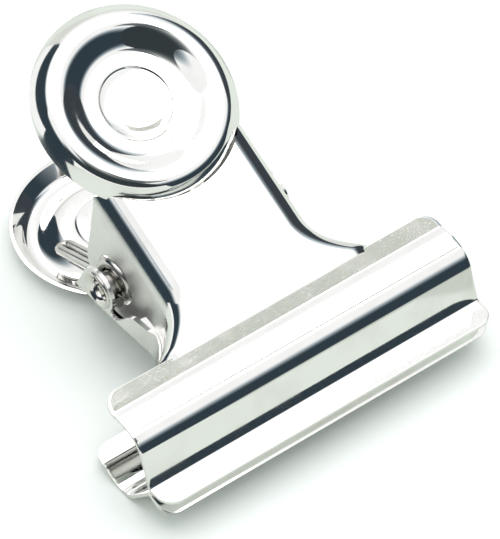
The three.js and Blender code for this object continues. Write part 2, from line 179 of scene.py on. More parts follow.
def soften(bm, width, stays_sharp=lambda edge: False):
    edges = [e for e in bm.edges if e.is_manifold and e.calc_face_angle(0) > cut_edge_angle]
    edges = [e for e in edges if not stays_sharp(e)]
    shape = {"segments": 2, "profile": 0.5, "affect": "EDGES", "clamp_overlap": True}
    bmesh.ops.bevel(bm, geom=edges, offset=width, **shape)
    return bm


def shade(bm):
    for face in bm.faces:
        face.smooth = True
    for edge in bm.edges:
        edge.smooth = edge.is_manifold and edge.calc_face_angle(0) < sharp_angle
    return bm


def finished(name, shapes, place=to_table):
    mesh = bpy.data.meshes.new(name)
    whole = bmesh.new()
    for bm in shapes:
        part = bpy.data.meshes.new("part")
        bm.to_mesh(part)
        bm.free()
        whole.from_mesh(part)
        bpy.data.meshes.remove(part)
    whole.transform(place)
    bmesh.ops.recalc_face_normals(whole, faces=whole.faces)
    whole.to_mesh(mesh)
    whole.free()
    piece = bpy.data.objects.new(name, mesh)
    bpy.context.scene.collection.objects.link(piece)
    print(name, len(mesh.polygons), "faces")
    return piece


# %% A solid of revolution, and a slab with a given outline
def spun(profile, segments, axis="Z"):
    bm = bmesh.new()
    middle = {i: bm.verts.new((0, 0, h)) for i, (r, h) in enumerate(profile) if r == 0}
    rings = []
    for k in range(segments):
        angle = 2 * math.pi * k / segments
        turned = [(r * math.cos(angle), r * math.sin(angle), h) for r, h in profile]
        rings.append([middle[i] if i in middle else bm.verts.new(point) for i, point in enumerate(turned)])
    for ring, after in zip(rings, rings[1:] + rings[:1]):
        for i in range(len(profile)):
            corners = [ring[i - 1], after[i - 1], after[i], ring[i]]
            corners = list(dict.fromkeys(corners))
            if len(corners) > 2:
                bm.faces.new(corners)
    if axis == "X":
        bm.transform(Matrix.Rotation(math.pi / 2, 4, "Y"))
    bmesh.ops.recalc_face_normals(bm, faces=bm.faces)
    return bm


def slab_along_x(outline, half_width):
    bm = bmesh.new()
    sides = []
    for x in (-half_width, half_width):
        corners = [bm.verts.new((x, y, z)) for y, z in outline]
        bm.faces.new(corners)
        sides.append(corners)
    for i in range(len(outline)):
        bm.faces.new((sides[0][i - 1], sides[0][i], sides[1][i], sides[1][i - 1]))
    bmesh.ops.recalc_face_normals(bm, faces=bm.faces)
    return bm


def cut(bm, *tools):
    objects = [finished("blank", [bm], Matrix.Identity(4))]
    for tool in tools:
        objects.append(finished("tool", [tool], Matrix.Identity(4)))
        modifier = objects[0].modifiers.new("cut", "BOOLEAN")
        modifier.operation, modifier.solver = "DIFFERENCE", "EXACT"
        modifier.object = objects[-1]
    bpy.context.view_layer.update()
    evaluated = objects[0].evaluated_get(bpy.context.evaluated_depsgraph_get())
    result = bmesh.new()
    result.from_mesh(evaluated.to_mesh())
    for unwanted in objects:
        bpy.data.objects.remove(unwanted)
    return result


# %% [markdown]
# ## The jaw
# Behind the neck the sheet runs on as a narrow strip, rises over a rounded barrel that makes the jaw
# stiff, comes down to a crease where the two halves touch, and flares out again as the lip. One line
# along the clip, moved across its width, gives all of it. Its corners are rounded in plan, so each row
# of the grid gets its own width.

# %% Points of an arc, and a rounded corner between two straight stretches
def arc(centre, radius, start, end, steps):
    angles = [math.radians(start + (end - start) * i / steps) for i in range(steps + 1)]
    return [(centre[0] + radius * math.cos(a), centre[1] + radius * math.sin(a)) for a in angles]


def rounded_corner(before, corner, after, radius, steps=6):
    before, corner, after = Vector(before), Vector(corner), Vector(after)
    to_before, to_after = (before - corner).normalized(), (after - corner).normalized()
    half = math.acos(max(-1, min(1, to_before.dot(to_after)))) / 2
    centre = corner + (to_before + to_after).normalized() * radius / math.sin(half)
    start = corner + to_before * radius / math.tan(half)
    end = corner + to_after * radius / math.tan(half)
    points = []
    for i in range(steps + 1):
        chord = start.lerp(end, i / steps) - centre
        points.append(tuple(centre + chord.normalized() * radius))
    return points


print("a quarter of a circle in 2 steps:", [[round(v, 2) for v in p] for p in arc((0, 0), 1, 0, 90, 2)])

# %% The line of the jaw, from the strip to the lip
barrel_back_steps, barrel_front_steps, corner_step = 14, 24, 10


def jaw_line():
    start = (-back_edge, neck_up(-back_edge))
    valley = (-back_edge - strip_width, start[1] - strip_width * math.tan(strip_angle))
    back_span = barrel_peak - back_edge - strip_width
    back_angle = math.degrees(math.asin(back_span / barrel_back_radius))
    back_centre = (-barrel_peak, barrel_height - barrel_back_radius)
    back = arc(back_centre, barrel_back_radius, 90 - back_angle, 90, barrel_back_steps)
    centre = (-barrel_peak, barrel_height - barrel_front_radius)
    crease = (-crease_distance, crease_height)
    reach = math.hypot(crease[0] - centre[0], crease[1] - centre[1])
    heading = math.degrees(math.atan2(crease[1] - centre[1], crease[0] - centre[0])) + 360
    touch = heading - math.degrees(math.acos(barrel_front_radius / reach))
    front = arc(centre, barrel_front_radius, 90, touch, barrel_front_steps)
    run = lip_length * math.cos(lip_angle)
    tip = (crease[0] - run, crease[1] + lip_length * math.sin(lip_angle))
    into_corner = [corner_radius * (1 - math.cos(math.radians(a))) for a in range(0, 90, corner_step)]
    strip = [(start[0] - d, start[1] - d * math.tan(strip_angle)) for d in into_corner[:-1]]
    lip = [(tip[0] + d, tip[1] - d * math.tan(lip_angle)) for d in into_corner[::-1]]
    return [
        *strip,
        *rounded_corner(start, valley, back[1], valley_radius),
        *back[2:],
        *front[1:],
        *rounded_corner(front[-1], crease, tip, crease_radius),
        *lip,
    ]


def jaw_width(y, tip_y):
    from_end = min(-back_edge - y, y - tip_y)
    short = max(corner_radius - from_end, 0)
    return jaw_half - corner_radius + math.sqrt(max(corner_radius**2 - short**2, 0))


line = jaw_line()
print("the line of the jaw has", len(line), "points and ends at", [round(v, 2) for v in line[-1]])

# %% The jaw as a sheet, with the edge under the neck left sharp
right_side = [0.2, 0.4, 0.6, 0.8, 0.94, 0.985, 1]
across = [-share for share in right_side[::-1]] + [0] + right_side
neck_foot, foot_depth = 13.9, 0.2
jaw_bevel, head_bevel = 0.09, 0.1


def jaw_sheet():
    rows = [[Vector((-s * jaw_width(y, line[-1][0]), y, z)) for s in across] for y, z in line]
    bm = sheet_from_grid(rows, sheet)

    def under_the_neck(edge):
        middle = (edge.verts[0].co + edge.verts[1].co) / 2
        return abs(middle.y + back_edge) < foot_depth and abs(middle.x) < neck_foot

    return shade(soften(bm, jaw_bevel, under_the_neck))


jaw = jaw_sheet()
print("the jaw has", len(jaw.faces), "faces")
jaw.free()

# %% [markdown]
# ## The round head
# The thumb rests on a dished disc: a rim with a steep skirt outside, a slope down to a flat floor and a
# shallow round spot. The section is straight lines with rounded corners outside and an even slope
# inside, so the reflections run round it in clean rings. It is drawn once and spun.

# %% Section of the head's outer face, and of its inner face one sheet further in
brow_steps, slope_steps, spot_steps, spot_edge = 24, 24, 6, 0.25
floor_rings, spot_rings = (6.0, 5.4), (3, 1.5, 0)


def head_section():
    foot = (head_radius, -skirt_drop)
    brow = (brow_radius, crown_height)
    outer = [foot] + rounded_corner(foot, brow, (0, crown_height), brow_bend, brow_steps)
    outer.append((crown_radius, crown_height))
    depth, slope = crown_height - floor_height, crown_radius - floor_radius
    for i in range(1, slope_steps + 1):
        share = i / slope_steps
        height = floor_height + depth * (1 + math.cos(math.pi * share)) / 2
        outer.append((crown_radius - slope * share, height))
    outer += [(r, floor_height) for r in floor_rings]
    for i in range(spot_steps + 1):
        share = i / spot_steps
        drop = (floor_height - spot_height) * (1 - math.cos(math.pi * share)) / 2
        outer.append((spot_radius + spot_edge * (1 - share), floor_height - drop))
    return outer + [(r, spot_height) for r in spot_rings]


def moved_in(section, distance):
    inner = []
    for i, (r, h) in enumerate(section):
        before, after = section[max(i - 1, 0)], section[min(i + 1, len(section) - 1)]
        along = Vector((after[0] - before[0], after[1] - before[1])).normalized()
        inner.append((max(r - along.y * distance, 0), h + along.x * distance))
    inner[-1] = (0, section[-1][1] - distance)
    return inner


print("the head's section has", len(head_section()), "points")

# %% The spun head, placed on the neck
head_centre = (0, head_distance, neck_up(head_distance))
head_place = Matrix.Translation(head_centre) @ Matrix.Rotation(neck_angle, 4, "X")
head_segments = 144


def head_sheet():
    outer = head_section()
    inner = moved_in(outer, sheet)
    inner[0] = (head_radius - sheet, -skirt_drop)
    bm = spun(outer + inner[::-1], head_segments)
    shade(soften(bm, head_bevel))
    bm.transform(head_place)
    return bm


head = head_sheet()
print("the head has", len(head.faces), "faces")
head.free()

# %% [markdown]
# ## The neck with its flanges and ears
# The neck is a flat plate whose sides are bent down. Towards the jaw it flares out ever faster,
# and beside the hinge the flanges end in round ears. The lower half is a little narrower and its flanges
# step outwards, so that its ears lie outside those of the upper half. Cross-sections along the clip give
# the bent plate, and a cutter with the outline of the flanges leaves the ears, as a trimming die does.

# %% Sizes of necks, flanges and ears
# The neck's end is sunk into the strip, a hair below its surface
bend_radius, flare_length, flare_width = 3.0, 6.9, 5.4
sunk, seam_step = 0.4, 0.01
flare_end = -back_edge + sunk
flare_start = flare_end + flare_length
joggle_from, joggle_to, knee_radius, trimmed_off = -9.5, -4.6, 1.2, 3
# Cutters reach this far, beyond every sheet
beyond = 40
# Each half: where its sides stand, the rear edge, the round lobe, the hole and the dip before the jaw
upper = {"offset": 10.65, "rear": 6.2, "lobe": 5.9, "lobe_end": -165, "hole": 3.45}
upper["dip"] = [(-6, -0.7), (-6.6, 0.2)]
lower = {"offset": 10.4, "ear": 13.35, "jaw_flange": 11, "lean": 28}
lower |= {"rear": 5.2, "lobe": 3.1, "lobe_end": -205, "hole": 2.0}
lower["dip"] = [(-3.5, 2.2), (-4.3, 1.4), (-5.2, 0), (-6.2, -1.3), (-8.1, 0.2)]


def flare_at(y):
    into = max(0, min((flare_start - y) / flare_length, 1))
    return flare_width * into**2


print("the neck widens by", flare_at(flare_end), "mm on each side before the jaw")

# %% Cross-sections of the two necks
upper_bend_steps, upper_flange_steps = 14, 6
lower_bend_steps, knee_steps, lower_flange_steps = 10, 5, 5


def upper_section(y):
    flat, top = upper["offset"] - bend_radius + flare_at(y), neck_up(y) - seam_step
    points = arc((flat, top - bend_radius), bend_radius, 90, 0, upper_bend_steps)
    last = points[-1]
    drop = last[1] - (-upper["lobe"] - sunk)
    steps = range(1, upper_flange_steps + 1)
    return points + [(last[0], last[1] - drop * k / upper_flange_steps) for k in steps]


def smoothstep(value, start, end):
    share = max(0, min(1, (value - start) / (end - start)))
    return share * share * (3 - 2 * share)


def lower_section(y):
    flare = flare_at(y)
    flat, top = lower["offset"] - bend_radius + flare, neck_up(y) - seam_step
    points = arc((flat, top - bend_radius), bend_radius, 90, lower["lean"], lower_bend_steps)
    joggle = smoothstep(y, joggle_from, joggle_to)
    reach = lower["jaw_flange"] + (lower["ear"] - lower["jaw_flange"]) * joggle + flare
    last = points[-1]
    run = (reach - last[0]) / math.tan(math.radians(lower["lean"]))
    knee, foot = (reach, last[1] - run), (reach, -lower["lobe"] - sunk - trimmed_off)
    bend = rounded_corner(last, knee, foot, knee_radius, knee_steps)
    out, down = bend[0][0] - last[0], bend[0][1] - last[1]
    leaning = [(last[0] + out * k / 3, last[1] + down * k / 3) for k in (1, 2)]
    drop, steps = foot[1] - bend[-1][1], range(1, lower_flange_steps + 1)
    upright = [(reach, bend[-1][1] + drop * k / lower_flange_steps) for k in steps]
    return points + leaning + bend + upright


print("at the hinge the ears stand at", upper_section(0)[-1][0], "and", lower_section(0)[-1][0], "mm")

# %% The bent plate, from its cross-sections
flare_steps, neck_steps, under_head = 24, 30, 6


def neck_plate(section):
    stations = [-back_edge - sunk, -back_edge + sunk / 2, flare_end]
    stations += [flare_end + flare_length * i / flare_steps for i in range(1, flare_steps + 1)]
    length = head_distance - under_head - flare_start
    stations += [flare_start + length * i / neck_steps for i in range(1, neck_steps + 1)]
    rows = []
    for y in stations:
        right = section(y)
        flat = right[0][0]
        middle = [(flat * s, right[0][1]) for s in (-0.5, 0, 0.5)]
        points = [(-x, z) for x, z in right[::-1]] + middle + right
        rows.append([Vector((x, y, z)) for x, z in points][::-1])
    return sheet_from_grid(rows, sheet)


plate = neck_plate(upper_section)
print("the upper neck is bent from", len(plate.faces), "faces")
plate.free()


# %% A smooth line through a few points
def between(a, b, c, d, share):
    """A value from b to c, on the smooth curve that also runs through a and d."""
    square, cube = 2 * a - 5 * b + 4 * c - d, 3 * b - a - 3 * c + d
    return 0.5 * (2 * b + (c - a) * share + square * share**2 + cube * share**3)


def smooth_line(points, steps):
    line = []
    ends = [points[0]] + points + [points[-1]]
    for four in zip(ends, ends[1:], ends[2:], ends[3:]):
        line += [tuple(between(*values, i / steps) for values in zip(*four)) for i in range(steps)]
    return line + [points[-1]]


print("halfway over a hump:", smooth_line([(0, 0), (1, 1), (2, 0)], 2)[1])

# %% The outline of the flanges: what lies outside it is trimmed off
rear_curve = ((0.4, 0.55), (0.1, 0.75), (0, 1.15))
lobe_steps, dip_steps, rear_steps = 40, 8, 5
seam_height, run_out_reach, run_out_rise = 0.2, 1.9, 0.8


def flange_outline(half):
    under = neck_up(-back_edge) - sheet / 2
    rear = []
    for back, down in rear_curve:
        y = half["rear"] + back * bend_radius
        rear.append((y, neck_up(y) - down * bend_radius))
    lobe = arc((0, 0), half["lobe"], 0, half["lobe_end"], lobe_steps)
    joint = smooth_line([lobe[-1], *half["dip"]], dip_steps)
    run_out = [
        (-back_edge + run_out_reach, seam_height),
        (-back_edge + run_out_reach / 2, seam_height + run_out_rise),
        (-back_edge - sunk / 2, under),
    ]
    start = [(beyond, -beyond), (beyond, neck_up(beyond) - bend_radius)]
    end = [(-beyond, under), (-beyond, -beyond)]
    return start + smooth_line(rear, rear_steps) + lobe + joint[1:] + run_out + end


for name, half in (("upper", upper), ("lower", lower)):
    print("the", name, "flanges are trimmed along", len(flange_outline(half)), "points")


# %% The trimmed neck
def rod(radius, reach, axis, segments=96):
    return spun([(0, -reach), (radius, -reach), (radius, reach), (0, reach)], segments, axis)


def neck_sheet(section, half):
    under_the_head = rod(head_radius - sheet / 2, neck_height / 2, "Z")
    under_the_head.transform(head_place)
    trimming = slab_along_x(flange_outline(half), beyond)
    piercing = rod(half["hole"], beyond, "X")
    return shade(cut(neck_plate(section), trimming, piercing, under_the_head))


# %% The two halves, each finished as one piece
def half_shapes(section, half):
    return [jaw_sheet(), head_sheet(), neck_sheet(section, half)]


upper_half = finished("upper_stamping", half_shapes(upper_section, upper))
lower_half = finished("lower_stamping", half_shapes(lower_section, lower), to_table @ mirrored)
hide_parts("upper_jaw")
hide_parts("lower_jaw")
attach(upper_half, "upper_half")
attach(lower_half, "lower_half")

# %% [markdown]
# ## The pivot tube
# A drawn tube runs through the ears of the lower half and is flared over at both ends, like an eyelet.
# Its flared mouth shows beside the neck as a bright ring round a dark hole.

# %% The tube, spun about the hinge
tube_radius, tube_bore = 1.75, 1.35
tube_play, turn_out, turn_angles = 0.3, 0.3, (0.5, 1.0, 1.571)
flange_radius, flange_flat_end, flange_edge = 2.6, 2.38, 0.225
mouth = [(2.15, 0.08), (1.62, 0.5), (tube_bore, 1.3)]
edge_steps, mouth_steps, tube_segments = 10, 6, 72


def tube_shape():
    seat = lower["ear"] + tube_play
    end, edge_start = seat + 2 * flange_edge, flange_radius - flange_edge
    half = [(tube_radius, 0), (tube_radius, seat / 2), (tube_radius, seat - turn_out)]
    for a in turn_angles:
        half.append((tube_radius + turn_out * (1 - math.cos(a)), seat - turn_out + turn_out * math.sin(a)))
    half.append((flange_flat_end, seat))
    half += arc((edge_start, seat + flange_edge), flange_edge, -90, 90, edge_steps)
    inwards = [(edge_start, end)] + [(r, end - depth) for r, depth in mouth]
    half += smooth_line(inwards, mouth_steps)[1:]
    half += [(tube_bore, seat / 2), (tube_bore, 0)]
    outside = half[: half.index((tube_bore, seat / 2))]
    whole = [(r, -x) for r, x in outside[:0:-1]] + outside
    return shade(spun(whole, tube_segments, "X"))


tube = finished("pivot_eyelet", [tube_shape()])
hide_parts("pivot_tube")
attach(tube, "lower_half")

# %% [markdown]
# ## The spring
# One wire makes the whole spring. From each end it winds twice outside the upper ear, runs out to the
# lower head and back as a narrow hairpin, winds on inside the ear and reaches the upper head as one
# broad loop in the middle. The route is written from those counts and a round wire is swept along it.
# It is made as two mirrored halves, because each half winds up by itself when the heads are pressed.

# %% The route of half the wire
wire_radius, coil_radius, coil_pitch = 0.68, 2.5, 1.56
arm_angle, outer_turns, inner_turns, middle_loop = 36, 2, 3, 2.0
coil_start, stub, arm_clearance = -12.0, 1.1, 0.05
turn_steps, loop_steps = 40, 16


def on_coil(x, degrees):
    a = math.radians(degrees)
    return Vector((x, coil_radius * math.cos(a), coil_radius * math.sin(a)))


def arm_reach():
    c, s = math.cos(math.radians(arm_angle)), math.sin(math.radians(arm_angle))
    start = (-coil_radius * s, coil_radius * c)
    clear = (sheet - floor_height + arm_clearance + wire_radius) / math.cos(neck_angle)
    return (neck_up(start[0]) - clear - start[1]) / (s - c * math.tan(neck_angle))


def loop_end(foot, direction, reach, radius, turn):
    centre = foot + direction * (reach - radius) + Vector((radius, 0, 0))
    points = []
    for i in range(loop_steps + 1):
        a = turn * i / loop_steps
        points.append(centre + Vector((-radius * math.cos(a), 0, 0)) + direction * radius * math.sin(a))
    return points


def wire_route():
    start, arm = coil_start, 270 - arm_angle
    points = [on_coil(start, arm) - on_coil(0, arm + 90).normalized() * stub]
    for i in range(outer_turns * turn_steps + 1):
        points.append(on_coil(start + coil_pitch * i / turn_steps, arm + 360 * i / turn_steps))
    down = Vector((0, math.cos(math.radians(arm_angle)), -math.sin(math.radians(arm_angle))))
    up = Vector((0, down.y, -down.z))
    foot = points[-1]
    points += loop_end(foot, down, arm_reach(), coil_pitch / 2, math.pi)
    second = start + coil_pitch * (outer_turns + 1)
    swing = arm - (90 + arm_angle) + 360 * inner_turns
    steps = round(swing / 360 * turn_steps)
    for i in range(steps + 1):
        turned = swing * i / steps
        points.append(on_coil(second + coil_pitch * turned / 360, arm - turned))
    points += loop_end(points[-1], up, arm_reach(), middle_loop, math.pi / 2)
    points.append(Vector((0, points[-1].y, points[-1].z)))
    return points


route = wire_route()
length = sum((b - a).length for a, b in zip(route, route[1:]))
print("half of the wire is", round(length, 1), "mm long")


# %% A round wire swept along its route
ring_spacing, wire_sides = 0.25, 18


def even_route(points):
    out = [points[0]]
    for a, b in zip(points, points[1:]):
        count = max(1, round((b - a).length / ring_spacing))
        out += [a.lerp(b, k / count) for k in range(1, count + 1)]
    return out


def swept(points, radius):
    bm = bmesh.new()
    normal, rings = Vector((1, 0, 0)), []
    angles = [2 * math.pi * k / wire_sides for k in range(wire_sides)]
    for i, point in enumerate(points):
        along = (points[min(i + 1, len(points) - 1)] - points[max(i - 1, 0)]).normalized()
        normal = (normal - along * normal.dot(along)).normalized()
        side = along.cross(normal)
        ring = [point + normal * radius * math.cos(a) + side * radius * math.sin(a) for a in angles]
        rings.append([bm.verts.new(corner) for corner in ring])
    for near, far in zip(rings, rings[1:]):
        for k in range(wire_sides):
            bm.faces.new((near[k - 1], near[k], far[k], far[k - 1]))
    bm.faces.new(rings[0])
    bm.faces.new(rings[-1])
    bmesh.ops.recalc_face_normals(bm, faces=bm.faces)
    return shade(bm)


print("the swept wire has a ring of", wire_sides, "points every", ring_spacing, "mm")

# %% Both halves of the spring, reaching from the lower to the upper half of the clip
springs = []
for side, name in ((1, "spring_left"), (-1, "spring_right")):
    facing = to_table @ Matrix.Diagonal((side, 1, 1, 1))
    spring = finished(name, [swept(even_route(route), wire_radius)], facing)
    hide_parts("torsion_spring")
    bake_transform(spring)
    springs.append(spring)

# %% [markdown]
# ## Finishes
# Bright nickel is a metal with a warm white reflection. What keeps it from looking like a computer's
# chrome is small: the sheet is never quite flat, tumbling leaves hair-fine scratches, the die rubs the
# bent sides dull, and thin haze makes some places duller than others. Each of these effects is one node
# group, used by every finish with its own values. So a change to one effect reaches the whole clip.

# %% Tools for node groups
def new_group(name, inputs, outputs):
    group = bpy.data.node_groups.new(name, "ShaderNodeTree")
    for label, kind, value in inputs:
        socket = group.interface.new_socket(label, in_out="INPUT", socket_type=kind)
        socket.default_value = value
    for label, kind in outputs:
        group.interface.new_socket(label, in_out="OUTPUT", socket_type=kind)
    return group, group.nodes.new("NodeGroupInput"), group.nodes.new("NodeGroupOutput")


def add(tree, kind, **settings):
    node = tree.nodes.new(kind)
    for key, value in settings.items():
        setattr(node, key, value)
    return node


def plug(tree, socket, value):
    """Give a socket a plain value, or link it to another socket."""
    if isinstance(value, bpy.types.NodeSocket):
        tree.links.new(value, socket)
    else:
        socket.default_value = value


def math_node(tree, operation, first, second):
    node = add(tree, "ShaderNodeMath", operation=operation)
    plug(tree, node.inputs[0], first)
    plug(tree, node.inputs[1], second)
    return node.outputs[0]


def colour_mix(tree, share, first, second):
    """Blend two colours. Blender keeps them in inputs 6 and 7 of the node, and the blend in output 2."""
    node = add(tree, "ShaderNodeMix", data_type="RGBA")
    for place, value in ((0, share), (6, first), (7, second)):
        plug(tree, node.inputs[place], value)
    return node.outputs[2]


# %% Uneven sheet: slow waves left by rolling and stamping
def uneven_sheet_group():
    group, inside, outside = new_group(
        "Uneven sheet",
        [("Size mm", "NodeSocketFloat", 9.0), ("Depth mm", "NodeSocketFloat", 0.01)],
        [("Height", "NodeSocketFloat")],
    )
    place = add(group, "ShaderNodeTexCoord")
    noise = add(group, "ShaderNodeTexNoise", noise_dimensions="3D")
    noise.inputs["Detail"].default_value = 1.0
    group.links.new(place.outputs["Object"], noise.inputs["Vector"])
    group.links.new(math_node(group, "DIVIDE", 1000.0, inside.outputs["Size mm"]), noise.inputs["Scale"])
    depth = math_node(group, "MULTIPLY", inside.outputs["Depth mm"], 0.001)
    group.links.new(math_node(group, "MULTIPLY", noise.outputs["Fac"], depth), outside.inputs["Height"])
    return group


uneven_sheet = uneven_sheet_group()
print(uneven_sheet.name, [s.name for s in uneven_sheet.interface.items_tree])


# %% Fine scratches: long thin noise, kept only where it peaks
scratch_from, scratch_full = 0.64, 0.74


def fine_scratches_group():
    group, inside, outside = new_group(
        "Fine scratches",
        [
            ("Length mm", "NodeSocketFloat", 5.0),
            ("Width mm", "NodeSocketFloat", 0.06),
            ("Turn", "NodeSocketVector", (0, 0, 0)),
        ],
        [("Mask", "NodeSocketFloat")],
    )
    place = add(group, "ShaderNodeTexCoord")
    turn = add(group, "ShaderNodeVectorRotate", rotation_type="EULER_XYZ")
    group.links.new(place.outputs["Object"], turn.inputs["Vector"])
    group.links.new(inside.outputs["Turn"], turn.inputs["Rotation"])
    stretch = add(group, "ShaderNodeCombineXYZ")
    group.links.new(math_node(group, "DIVIDE", 1000.0, inside.outputs["Length mm"]), stretch.inputs["X"])
    thin = math_node(group, "DIVIDE", 1000.0, inside.outputs["Width mm"])
    group.links.new(thin, stretch.inputs["Y"])
    group.links.new(thin, stretch.inputs["Z"])
    scaled = add(group, "ShaderNodeVectorMath", operation="MULTIPLY")
    group.links.new(turn.outputs["Vector"], scaled.inputs[0])
    group.links.new(stretch.outputs[0], scaled.inputs[1])
    noise = add(group, "ShaderNodeTexNoise")
    noise.inputs["Scale"].default_value = 1.0
    noise.inputs["Detail"].default_value = 2.0
    group.links.new(scaled.outputs[0], noise.inputs["Vector"])
    peak = add(group, "ShaderNodeMapRange", clamp=True)
    peak.inputs["From Min"].default_value = scratch_from
    peak.inputs["From Max"].default_value = scratch_full
    group.links.new(noise.outputs["Fac"], peak.inputs["Value"])
    group.links.new(peak.outputs[0], outside.inputs["Mask"])
    return group


fine_scratches = fine_scratches_group()
print(fine_scratches.name, [s.name for s in fine_scratches.interface.items_tree])


# %% Scuffed sides: the faces bent square to the hinge, which the die rubs dull
def scuffed_sides_group():
    group, inside, outside = new_group(
        "Scuffed sides",
        [("From", "NodeSocketFloat", 0.85), ("Full", "NodeSocketFloat", 0.97)],
        [("Mask", "NodeSocketFloat")],
    )
    place = add(group, "ShaderNodeTexCoord")
    split = add(group, "ShaderNodeSeparateXYZ")
    group.links.new(place.outputs["Normal"], split.inputs[0])
    sideways = add(group, "ShaderNodeMath", operation="ABSOLUTE")
    group.links.new(split.outputs["X"], sideways.inputs[0])
    mask = add(group, "ShaderNodeMapRange", clamp=True)
    group.links.new(sideways.outputs[0], mask.inputs["Value"])
    group.links.new(inside.outputs["From"], mask.inputs["From Min"])
    group.links.new(inside.outputs["Full"], mask.inputs["From Max"])
    group.links.new(mask.outputs[0], outside.inputs["Mask"])
    return group


scuffed_sides = scuffed_sides_group()
print(scuffed_sides.name, [s.name for s in scuffed_sides.interface.items_tree])


# %% Plating haze: patches where the nickel is a little duller and warmer
patch_from, patch_full = 0.42, 0.68
scratch_roughness = 0.1


def plating_haze_group():
    group, inside, outside = new_group(
        "Plating haze",
        [
            ("Clean", "NodeSocketColor", (0.85, 0.85, 0.83, 1)),
            ("Hazy", "NodeSocketColor", (0.78, 0.78, 0.75, 1)),
            ("Size mm", "NodeSocketFloat", 6.0),
            ("Gloss", "NodeSocketFloat", 0.05),
            ("Haze", "NodeSocketFloat", 0.12),
            ("Scratches", "NodeSocketFloat", 0.0),
            ("Scuffed", "NodeSocketFloat", 0.0),
            ("Scuff", "NodeSocketFloat", 0.0),
        ],
        [("Colour", "NodeSocketColor"), ("Roughness", "NodeSocketFloat")],
    )
    place = add(group, "ShaderNodeTexCoord")
    noise = add(group, "ShaderNodeTexNoise")
    noise.inputs["Detail"].default_value = 4.0
    group.links.new(place.outputs["Object"], noise.inputs["Vector"])
    group.links.new(math_node(group, "DIVIDE", 1000.0, inside.outputs["Size mm"]), noise.inputs["Scale"])
    patch = add(group, "ShaderNodeMapRange", clamp=True, interpolation_type="SMOOTHSTEP")
    patch.inputs["From Min"].default_value = patch_from
    patch.inputs["From Max"].default_value = patch_full
    group.links.new(noise.outputs["Fac"], patch.inputs["Value"])
    colour = colour_mix(group, patch.outputs[0], inside.outputs["Clean"], inside.outputs["Hazy"])
    group.links.new(colour, outside.inputs["Colour"])
    spread = math_node(group, "MULTIPLY", patch.outputs[0], inside.outputs["Haze"])
    rough = math_node(group, "ADD", spread, inside.outputs["Gloss"])
    worn = math_node(group, "MULTIPLY", inside.outputs["Scratches"], scratch_roughness)
    rubbed = math_node(group, "MULTIPLY", inside.outputs["Scuffed"], inside.outputs["Scuff"])
    rough = math_node(group, "ADD", rough, rubbed)
    group.links.new(math_node(group, "ADD", rough, worn), outside.inputs["Roughness"])
    return group


plating_haze = plating_haze_group()
print(plating_haze.name, [s.name for s in plating_haze.interface.items_tree])


# %% One nickel finish from the four groups
scratch_depth = 0.0000006


def nickel(name, clean, hazy, gloss, haze, wave_mm, wave_size, scratch_turn, scuff=0.0):
    material = bpy.data.materials.new(name)
    material.use_nodes = True
    tree = material.node_tree
    shader = tree.nodes["Principled BSDF"]
    shader.inputs["Metallic"].default_value = 1.0
    effects = {"wave": uneven_sheet, "scratch": fine_scratches}
    effects |= {"side": scuffed_sides, "haze": plating_haze}
    groups = {key: add(tree, "ShaderNodeGroup", node_tree=group) for key, group in effects.items()}
    groups["wave"].inputs["Size mm"].default_value = wave_size
    groups["wave"].inputs["Depth mm"].default_value = wave_mm
    groups["scratch"].inputs["Turn"].default_value = scratch_turn
    groups["haze"].inputs["Clean"].default_value = (*clean, 1)
    groups["haze"].inputs["Hazy"].default_value = (*hazy, 1)
    groups["haze"].inputs["Gloss"].default_value = gloss
    groups["haze"].inputs["Haze"].default_value = haze
    groups["haze"].inputs["Scuff"].default_value = scuff
    tree.links.new(groups["side"].outputs["Mask"], groups["haze"].inputs["Scuffed"])
    tree.links.new(groups["scratch"].outputs["Mask"], groups["haze"].inputs["Scratches"])
    tree.links.new(groups["haze"].outputs["Colour"], shader.inputs["Base Color"])
    tree.links.new(groups["haze"].outputs["Roughness"], shader.inputs["Roughness"])
    cut_in = math_node(tree, "MULTIPLY", groups["scratch"].outputs["Mask"], -scratch_depth)
    height = math_node(tree, "ADD", groups["wave"].outputs["Height"], cut_in)
    bump = add(tree, "ShaderNodeBump")
    bump.inputs["Distance"].default_value = 1.0
    tree.links.new(height, bump.inputs["Height"])
    tree.links.new(bump.outputs["Normal"], shader.inputs["Normal"])
    return material


# %% The finishes of sheet, wire and tube
sheet_nickel = nickel(
    "sheet nickel",
    clean=(0.925, 0.93, 0.915),
    hazy=(0.87, 0.87, 0.85),
    gloss=0.04,
    haze=0.05,
    wave_mm=0.014,
    wave_size=7.0,
    scratch_turn=(0.2, 0.1, 0.6),
    scuff=0.4,
)
wire_nickel = nickel(
    "wire nickel",
    clean=(0.74, 0.74, 0.72),
    hazy=(0.60, 0.59, 0.56),
    gloss=0.12,
    haze=0.15,
    wave_mm=0.004,
    wave_size=3.0,
    scratch_turn=(0, 0, 0),
)
tube_nickel = nickel(
    "tube nickel",
    clean=(0.80, 0.79, 0.76),
    hazy=(0.64, 0.62, 0.58),
    gloss=0.08,
    haze=0.12,
    wave_mm=0.004,
    wave_size=2.0,
    scratch_turn=(0, 0, 0),
)
print([material.name for material in bpy.data.materials])
